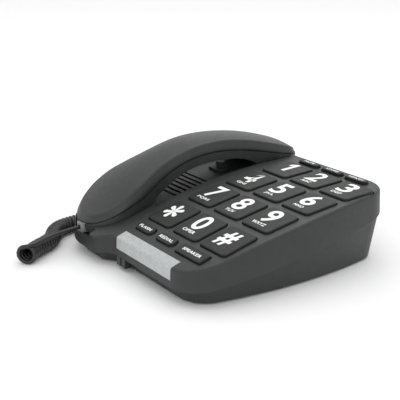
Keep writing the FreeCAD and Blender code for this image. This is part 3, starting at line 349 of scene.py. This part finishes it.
class Wardrobe:
    """Builds each finish once and hands it out."""

    def __init__(self) -> None:
        """Starts with nothing built."""
        self.made: dict[Finish, bpy.types.Material] = {}

    def get(self, finish: Finish) -> bpy.types.Material:
        """The material of a finish, built on its first use."""
        if finish not in self.made:
            self.made[finish] = finish.value.build()
        return self.made[finish]

    def for_node(self, name: str) -> Finish:
        """Chooses the finish of a CAD node.

        Args:
            name: the node's name.

        Returns:
            Its finish; small unnamed fittings are socket plastic.
        """
        if name in NODE_FINISHES:
            return NODE_FINISHES[name]
        return next((finish for part, finish in NAME_FINISHES.items() if part in name), Finish.SOCKET)


# ---------------------------------------------------------------- camera and light


@dataclass
class Studio:
    """Camera, floor and soft light."""

    azimuth: float = 55.76
    elevation: float = 18.08
    lens: float = 81.67
    target: Point = (-0.03167, -0.00407, 0.030)
    distance: float = 0.69123
    floor_half: float = 30.0
    # name, place, side and power of each softbox, in metres and watts
    softboxes: tuple[tuple[str, Point, float, float], ...] = (
        ("overhead", (-0.2, 0.3, 1.1), 1.1, 2.4), ("behind", (-0.9, 0.7, 0.7), 0.5, 0.6),
        ("front", (0.9, -0.7, 0.6), 0.9, 1.5))

    def camera(self) -> None:
        """Places the camera and makes it the scene's."""
        turn, rise = math.radians(self.azimuth), math.radians(self.elevation)
        back = Vector((math.sin(turn) * math.cos(rise), -math.cos(turn) * math.cos(rise), math.sin(rise)))
        data = bpy.data.cameras.new("camera")
        data.sensor_width = 36.0
        data.lens = self.lens
        data.clip_start = 0.01
        holder = bpy.data.objects.new("camera", data)
        bpy.context.scene.collection.objects.link(holder)
        holder.location = Vector(self.target) + back * self.distance
        holder.rotation_mode = "QUATERNION"
        holder.rotation_quaternion = back.to_track_quat("Z", "Y")
        bpy.context.scene.camera = holder

    def floor(self) -> None:
        """Lays the plain pale floor."""
        material, shader = plain_material("matt_paper_sweep")
        shader.inputs["Base Color"].default_value = linear("#FAFAFA")
        shader.inputs["Roughness"].default_value = 0.9
        shader.inputs["Specular IOR Level"].default_value = 0.1
        half = self.floor_half
        sweep = mesh_piece("floor", [(-half, -half, 0), (half, -half, 0), (half, half, 0), (-half, half, 0)],
                           [(0, 1, 2, 3)], material)

    def lights(self) -> None:
        """Hangs one large softbox overhead, one behind and a weak one in front, in a white room."""
        world = bpy.data.worlds.new("white_room")
        world.use_nodes = True
        bpy.context.scene.world = world
        room = world.node_tree.nodes["Background"]
        room.inputs["Color"].default_value = (1.0, 1.0, 1.0, 1.0)
        room.inputs["Strength"].default_value = 1.0
        bpy.context.scene.view_settings.view_transform = "Standard"
        for name, place, size, power in self.softboxes:
            data = bpy.data.lights.new(f"softbox_{name}", "AREA")
            data.size, data.energy = size, power
            box = bpy.data.objects.new(f"softbox_{name}", data)
            box.location = place
            box.rotation_mode = "QUATERNION"
            box.rotation_quaternion = Vector(place).to_track_quat("Z", "Y")
            bpy.context.scene.collection.objects.link(box)


# ---------------------------------------------------------------- coiled cord


@dataclass
class HandsetCord:
    """The coiled handset cord: a straight lead, a close helix and a tail to the base's plug."""

    wardrobe: Wardrobe
    wire: float = 3.0
    mean_radius: float = 5.0
    loose_radius: float = 6.4
    loose_turns: float = 2.5
    steps: int = 360
    trim: int = 5
    points_per_turn: int = 14
    sides: int = 8
    lead_points: int = 24
    tail_points: int = 30
    bridge_steps: int = 10
    lead: tuple[Point, ...] = ((-55.5, -94.6, 19.5), (-55.7, -109.0, 18.4), (-55.3, -124.0, 15.8),
                               (-53.6, -137.0, 12.2))
    coil: tuple[Point, ...] = ((-53.0, -139.4, 6.6), (-60.8, -130.6, 6.6), (-66.6, -120.8, 6.6),
                               (-71.4, -112.2, 6.6), (-78.4, -105.6, 6.6), (-87.0, -100.8, 6.6),
                               (-94.0, -93.6, 6.6), (-97.6, -84.0, 6.6), (-98.8, -73.0, 6.6))
    tail: tuple[Point, ...] = ((-99.0, -60.0, 4.8), (-98.2, -45.0, 2.8), (-98.8, -29.0, 2.2),
                               (-100.8, -15.0, 2.6), (-103.8, -3.5, 3.8), (-105.8, 6.5, 5.4),
                               (-104.4, 15.6, 8.2), (-98.6, 21.0, 10.0), (-91.4, 22.0, 10.0))

    def line(self, route: tuple[Point, ...]) -> list[Vector]:
        """Reads a smooth line from a NURBS spline through a route.

        Args:
            route: the spline's control points in millimetres.

        Returns:
            Points along the spline, in metres.
        """
        curve = bpy.data.curves.new("route", "CURVE")
        curve.dimensions = "3D"
        curve.resolution_u = 24
        spline = curve.splines.new("NURBS")
        spline.points.add(len(route) - 1)
        for control, point in zip(spline.points, route):
            control.co = (*(value * MM for value in point), 1.0)
        spline.order_u = 3
        spline.use_endpoint_u = True
        return drawn_by(curve)[0]

    def spaced(self, spots: list[Vector], count: int) -> list[Vector]:
        """Spreads points evenly along a line.

        Args:
            spots: the line's points.
            count: how many points are wanted.

        Returns:
            The evenly spaced points.
        """
        reach = [0.0]
        for first, second in zip(spots, spots[1:]):
            reach.append(reach[-1] + (second - first).length)
        made, index = [], 0
        for number in range(count):
            wanted = reach[-1] * number / (count - 1)
            while index < len(spots) - 2 and reach[index + 1] < wanted:
                index += 1
            span = reach[index + 1] - reach[index] or 1.0
            made.append(spots[index].lerp(spots[index + 1], min(1.0, (wanted - reach[index]) / span)))
        return made

    def path(self) -> list[Vector]:
        """Winds the helix round the coil's own line and joins it to the lead and the tail.

        Returns:
            The cord's centreline, in metres.
        """
        lead = self.spaced(self.line(self.lead), self.lead_points)
        axis = self.spaced(self.line(self.coil), self.steps + 1)
        tail = self.spaced(self.line(self.coil[-1:] + self.tail), self.tail_points)
        wound = []
        for number, spot in enumerate(axis):
            slack = max(0.0, 1 - number / self.points_per_turn / self.loose_turns)
            radius = (self.mean_radius + (self.loose_radius - self.mean_radius) * slack) * MM
            lift = Vector((0, 0, radius - self.mean_radius * MM))
            ahead = (axis[min(number + 1, len(axis) - 1)] - axis[max(number - 1, 0)]).normalized()
            up = (Vector((0, 0, 1)) - ahead * ahead.z).normalized()
            side = ahead.cross(up)
            angle = 2 * math.pi * (number - self.trim) / self.points_per_turn + math.pi / 2
            wound.append(spot + lift + (up * math.sin(angle) + side * math.cos(angle)) * radius)
        return self.joined(self.joined(lead, wound), tail)

    def joined(self, first: list[Vector], second: list[Vector]) -> list[Vector]:
        """Joins two stretches with a short smooth bridge in place of their last and first points.

        Args:
            first: the earlier stretch.
            second: the later stretch.

        Returns:
            One list of points.
        """
        trim = self.trim
        start, end = first[-trim - 1], second[trim]
        leaving = (first[-trim - 1] - first[-trim - 2]).normalized()
        arriving = (second[trim + 1] - second[trim]).normalized()
        reach = (end - start).length
        bridge = []
        for number in range(1, self.bridge_steps):
            part = number / self.bridge_steps
            square, cube = part * part, part ** 3
            bridge.append((2 * cube - 3 * square + 1) * start + (cube - 2 * square + part) * reach * leaving
                          + (3 * square - 2 * cube) * end + (cube - square) * reach * arriving)
        return first[:-trim] + bridge + second[trim:]

    def tube(self, centres: list[Vector]) -> Drawn:
        """Sweeps a round section along the cord.

        Args:
            centres: the cord's centreline.

        Returns:
            The tube's points and faces, closed at both ends.
        """
        radius = self.wire / 2 * MM
        points, faces = [], []
        across = Vector((0, 0, 1))
        for number, spot in enumerate(centres):
            ahead = (centres[min(number + 1, len(centres) - 1)] - centres[max(number - 1, 0)]).normalized()
            across = (across - ahead * across.dot(ahead)).normalized()
            other = ahead.cross(across)
            for side in range(self.sides):
                angle = 2 * math.pi * side / self.sides
                points.append(spot + (across * math.cos(angle) + other * math.sin(angle)) * radius)
            if number:
                base = (number - 1) * self.sides
                faces += [[base + side, base + (side + 1) % self.sides,
                           base + self.sides + (side + 1) % self.sides, base + self.sides + side]
                          for side in range(self.sides)]
        last = (len(centres) - 1) * self.sides
        faces += [list(range(self.sides)), list(range(last, last + self.sides))]
        return points, faces

    def build(self) -> bpy.types.Object:
        """Returns:
            The cord's object.
        """
        centres = self.path()
        cord = mesh_piece("handset_cord", *self.tube(centres), self.wardrobe.get(Finish.JACKET))
        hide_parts("cord_lead", "cord_coil", "cord_tail")
        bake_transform(cord)
        return cord


# ---------------------------------------------------------------- handset


@dataclass
class HandsetShell:
    """The handset's upper shell: a domed back over a crease that runs round the sides and mouth end."""

    wardrobe: Wardrobe
    middle: float = -55.5
    front: float = -92.4
    back: float = 95.4
    mouth_corner: float = 25.0
    ear_corner: float = 15.0
    edge_radius: float = 2.4
    crown: float = 2.6
    draft: float = 1.5
    groove: float = 0.35
    groove_depth: float = 0.8
    groove_chamfer: float = 0.15
    groove_rise: float = 0.25
    mouth_steps: int = 18
    side_steps: int = 56
    ear_steps: int = 12
    edge_steps: int = 6
    dome_steps: int = 12
    side: tuple[tuple[float, float], ...] = ((27.0, -67.4), (26.2, -56.0), (22.8, -44.0), (19.8, -30.0),
                                             (19.0, -6.0), (19.0, 22.0), (21.2, 46.0), (24.8, 61.0),
                                             (26.0, 72.0))
    crease: list[tuple[float, float]] = field(default_factory=lambda: [
        (-93.0, 28.4), (-85.0, 32.4), (-76.0, 38.0), (-64.0, 46.4), (-47.0, 55.8), (-25.0, 64.6),
        (-3.0, 70.4), (19.0, 72.0), (41.0, 70.0), (61.0, 66.0), (78.0, 61.2), (90.0, 57.0), (96.0, 54.4)])
    shell_line: list[tuple[float, float]] = field(default_factory=lambda: [
        (-112.0, 12.0), (-94.0, 22.2), (-86.0, 26.8), (-77.0, 31.8), (-60.0, 38.6), (-44.0, 45.9),
        (-28.0, 54.0), (-10.0, 60.6), (14.0, 63.5), (46.0, 60.5), (75.0, 55.0), (112.0, 49.0)])

    def outline(self) -> list[tuple[float, float]]:
        """Plan outline of the handset.

        Returns:
            (distance from the middle, y) pairs once round, in millimetres.
        """
        half = []
        mouth_nose = self.side[0][0] - self.mouth_corner
        for step in range(self.mouth_steps + 1):
            angle = math.radians(-90 + 90 / self.mouth_steps * step)
            half.append((mouth_nose + self.mouth_corner * math.cos(angle),
                         self.front + self.mouth_corner * (1 + math.sin(angle))))
        widths = [(y, wide) for wide, y in self.side]
        first, last = self.side[0][1], self.side[-1][1]
        for step in range(1, self.side_steps + 1):
            y = first + (last - first) * step / self.side_steps
            half.append((between(widths, y), y))
        ear_nose = self.side[-1][0] - self.ear_corner
        for step in range(self.ear_steps + 1):
            angle = math.radians(90 / self.ear_steps * step)
            half.append((ear_nose + self.ear_corner * math.cos(angle),
                         self.back - self.ear_corner * (1 - math.sin(angle))))
        return half + [(-wide, y) for wide, y in reversed(half)]

    def build(self) -> bpy.types.Object:
        """Makes the shell, ring by ring from the shell line over the crease to the ridge.

        Returns:
            The shell's object.
        """
        rim = self.outline()
        count = len(rim)
        points: list[Vector] = []
        ridge_start, ridge_end = self.front + self.mouth_corner, self.back - self.ear_corner

        def ring(inset_mm: float, share: float, height: Callable[[float, float], float]) -> None:
            """Adds one ring: inset by a distance, then drawn towards the ridge by a share.

            Args:
                inset_mm: distance inwards from the outline.
                share: part of the way to the ridge, from 0 to 1.
                height: the ring's height, from y and the share.
            """
            for wide, y in rim:
                ridge = Vector((0.0, min(max(y, ridge_start), ridge_end)))
                away = Vector((wide, y)) - ridge
                reach = away.length
                spot = ridge + away * ((reach - inset_mm) / reach) * (1 - share)
                points.append(Vector((self.middle + spot.x, spot.y, height(spot.y, share))) * MM)

        def line(y: float, share: float) -> float:
            """Height of the line where the two shells meet."""
            return between(self.shell_line, y)

        for share in (1.0, 0.5, 0.0):
            ring(self.groove_depth, share, line)
        ring(self.groove_depth, 0.0, lambda y, share: line(y, share) + self.groove)
        ring(self.groove_chamfer, 0.0, lambda y, share: line(y, share) + self.groove)
        ring(0.0, 0.0, lambda y, share: line(y, share) + self.groove + self.groove_rise)
        for part in (0.3, 0.6, 0.9):
            ring(self.draft * part ** 2, 0.0,
                 lambda y, share, part=part: line(y, share) + self.groove
                 + (between(self.crease, y) - self.edge_radius - line(y, share) - self.groove) * part)
        for step in range(self.edge_steps + 1):
            angle = math.radians(90 / self.edge_steps * step)
            ring(self.draft + self.edge_radius * (1 - math.cos(angle)), 0.0,
                 lambda y, share, angle=angle: between(self.crease, y)
                 - self.edge_radius * (1 - math.sin(angle)))
        for step in range(1, self.dome_steps + 1):
            ring(self.draft + self.edge_radius, step / self.dome_steps,
                 lambda y, share: between(self.crease, y) + self.crown * (1 - (1 - share) ** 2))
        rings = len(points) // count
        faces = [[row * count + place, row * count + (place + 1) % count,
                  (row + 1) * count + (place + 1) % count, (row + 1) * count + place]
                 for row in range(rings - 1) for place in range(count)]
        shell = mesh_piece("handset_back_shell", points, faces, self.wardrobe.get(Finish.HANDSET))
        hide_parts("handset_upper_shell")
        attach(shell, "handset")
        LOG.info("handset back shell: %d rings", rings)
        return shell


# ---------------------------------------------------------------- key legends


@dataclass(frozen=True)
class Legend:
    """One printed mark: its words, its size, and its middle from the middle of the key, in millimetres."""

    words: str
    width: float
    height: float
    across: float
    along: float
    weight: float = 0.022
    slant: float = 0.0

    def laid(self, across: float, along: float) -> Vector:
        """Place in metres of a spot given in millimetres from the mark's own middle."""
        return Vector((across + self.across, along + self.along, 0.0)) * MM


@dataclass
class Keypad:
    """Prints the keys."""

    wardrobe: Wardrobe
    figures: str = "1234567890"
    ink_mm: float = 0.03
    letters: dict[str, str] = field(default_factory=lambda: {
        "2": "ABC", "3": "DEF", "4": "GHI", "5": "JKL", "6": "MNO", "7": "PQRS", "8": "TUV", "9": "WXYZ",
        "0": "OPER"})
    words: dict[str, tuple[str, float]] = field(default_factory=lambda: {
        "flash": ("FLASH", 14.5), "redial": ("REDIAL", 16.0), "speaker": ("SPEAKER", 20.5),
        "mute": ("MUTE", 11.0), "store": ("STORE", 13.0), "memory": ("MEMORY", 15.5)})

    def top_of(self, node: str) -> Matrix:
        """Finds a key's flat top from its own faces.

        Args:
            node: the key's CAD node.

        Returns:
            A placement in the middle of the top, its Z axis square to it.
        """
        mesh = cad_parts[node].data
        best = max((face for face in mesh.polygons if face.normal.z > 0.9), key=lambda face: face.area)
        top = [face for face in mesh.polygons if face.normal.dot(best.normal) > 0.9999
               and abs((face.center - best.center).dot(best.normal)) < 0.05 * MM]
        area = sum(face.area for face in top)
        middle = sum((face.center * face.area for face in top), Vector()) / area
        up = best.normal.normalized()
        along = up.cross(Vector((1, 0, 0))).normalized()
        across = along.cross(up)
        placement = Matrix((across, along, up)).transposed().to_4x4()
        placement.translation = middle
        return placement

    def words_mesh(self, legend: Legend) -> Drawn:
        """Draws words in the plain built-in face and fits them to their size.

        Args:
            legend: what to draw.

        Returns:
            Points in metres about the key's middle, and faces.
        """
        text = bpy.data.curves.new("legend", "FONT")
        text.body = legend.words
        text.offset = legend.weight
        text.resolution_u = 6
        text.space_character = 1.08
        spots, faces = drawn_by(text)
        low = Vector([min(spot[axis] for spot in spots) for axis in range(3)])
        high = Vector([max(spot[axis] for spot in spots) for axis in range(3)])
        middle, size = (low + high) / 2, high - low
        points = []
        for spot in spots:
            along = (spot.y - middle.y) / size.y * legend.height
            across = (spot.x - middle.x) / size.x * legend.width + along * legend.slant
            points.append(legend.laid(across, along))
        return points, faces

    def four_mesh(self, legend: Legend) -> Drawn:
        """Draws a four from its upright, its bar and its slanting stroke.

        Args:
            legend: the figure's size and place.

        Returns:
            Points in metres about the key's middle, and faces.
        """
        half, tall, stroke, bar = legend.width / 2, legend.height / 2, 3.3, -1.6
        right = half - 2
        left = right - stroke
        shapes = [[(left, -tall), (right, -tall), (right, tall), (left, tall)],
                  [(-half, bar - stroke), (half, bar - stroke), (half, bar), (-half, bar)],
                  [(-half, bar), (1 - half + stroke, bar), (right, tall), (left, tall)]]
        points, faces = [], []
        for shape in shapes:
            faces.append(list(range(len(points), len(points) + len(shape))))
            points += [legend.laid(across, along) for across, along in shape]
        return points, faces

    def one_mesh(self, legend: Legend) -> Drawn:
        """Draws a plain figure one: an upright with a short flag and no foot.

        Args:
            legend: the figure's size and place.

        Returns:
            Points in metres about the key's middle, and faces.
        """
        half, tall, stroke = legend.width / 2, legend.height / 2, 3.6
        shape = [(half - stroke, -tall), (half, -tall), (half, tall), (half - stroke + 0.6, tall),
                 (-half, tall - 3.4), (-half, tall - 6.6), (half - stroke, tall - 4.6)]
        return [legend.laid(across, along) for across, along in shape], [list(range(len(shape)))]

    def star_mesh(self, legend: Legend) -> Drawn:
        """Draws a star of six drop-shaped arms.

        Args:
            legend: the star's size and place.

        Returns:
            Points in metres about the key's middle, and faces.
        """
        points, faces = [], []
        arms, steps, root, tip = 6, 10, 0.7, 2.0
        turns = [math.pi / 2 - math.pi * step / steps for step in range(steps + 1)]
        shape = [(0.0, -root), (0.0, root)]
        shape += [(legend.height / 2 - tip + tip * math.cos(turn), tip * math.sin(turn)) for turn in turns]
        for arm in range(arms):
            angle = math.radians(90 + 360 / arms * arm)
            ahead = Vector((math.cos(angle), math.sin(angle)))
            side = Vector((-ahead.y, ahead.x))
            start = len(points)
            for far, wide in shape:
                spot = ahead * far + side * wide
                points.append(legend.laid(spot.x * legend.width / legend.height, spot.y))
            faces.append(list(range(start, len(points))))
        return points, faces

    def printed(self, key: str, number: int, legend: Legend) -> None:
        """Prints one legend on a key.

        Args:
            key: the key's name without its prefix.
            number: counts the legends of that key.
            legend: what is printed.
        """
        own_shapes = {"*": self.star_mesh, "1": self.one_mesh, "4": self.four_mesh}
        points, faces = own_shapes.get(legend.words, self.words_mesh)(legend)
        placement = self.top_of(f"key_{key}") @ Matrix.Translation((0, 0, self.ink_mm * MM))
        piece = mesh_piece(f"legend_{key}_{number}", [placement @ point for point in points], faces,
                           self.wardrobe.get(Finish.INK))
        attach(piece, f"key_{key}")

    def build(self) -> None:
        """Prints every key."""
        for key in self.figures:
            width = 7.0 if key == "1" else 12.2
            self.printed(key, 1, Legend(key, width, 17.3, -1.8, 3.5))
            if key in self.letters:
                words = self.letters[key]
                self.printed(key, 2, Legend(words, 13.5 if len(words) == 4 else 9.8, 3.1, -1.5, -8.2, 0.03))
        self.printed("star", 1, Legend("*", 16.0, 17.5, -2.6, 1.7))
        self.printed("hash", 1, Legend("#", 13.5, 17.0, -1.6, 0.9, 0.03, 0.12))
        for key, (words, width) in self.words.items():
            self.printed(key, 1, Legend(words, width, 2.7, 0.0, 0.0, 0.03))
        LOG.info("keys: %d figures, a star, a hash and %d words", len(self.figures), len(self.words))


# ---------------------------------------------------------------- carried-over pieces


@dataclass
class Casings:
    """Dresses every CAD node that keeps its own shape, and softens its edges."""

    wardrobe: Wardrobe
    edge_radius: dict[str, float] = field(default_factory=lambda: {
        "upper_casing": 0.7, "lower_casing": 0.8, "handset_lower_shell": 1.0, "ringer_lens": 0.4,
        "cord_keeper": 0.4, "handset_hanger": 0.4, "handset_plug": 0.4})
    edge_segments: int = 3
    sharp_degrees: float = 35.0

    def dress(self) -> None:
        """Gives each node its material and its rounded edges."""
        for name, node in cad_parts.items():
            finish = self.wardrobe.for_node(name)
            node.data.materials.clear()
            node.data.materials.append(self.wardrobe.get(finish))
            if name in self.edge_radius:
                bevel = node.modifiers.new("soft_edges", "BEVEL")
                bevel.width = self.edge_radius[name] * MM
                bevel.segments = self.edge_segments
                bevel.limit_method = "ANGLE"
                bevel.angle_limit = math.radians(self.sharp_degrees)
                bevel.harden_normals = True
            LOG.info("%s: %s", name, finish.value.name)


def main() -> None:
    """Builds the studio, the cord, the handset, the keys and the casings in turn."""
    logging.basicConfig(level=logging.INFO, format="%(message)s")
    wardrobe = Wardrobe()
    studio = Studio()
    studio.camera()
    HandsetCord(wardrobe).build()
    Casings(wardrobe).dress()
    HandsetShell(wardrobe).build()
    Keypad(wardrobe).build()
    studio.floor()
    studio.lights()


if __name__ == "__main__":
    main()
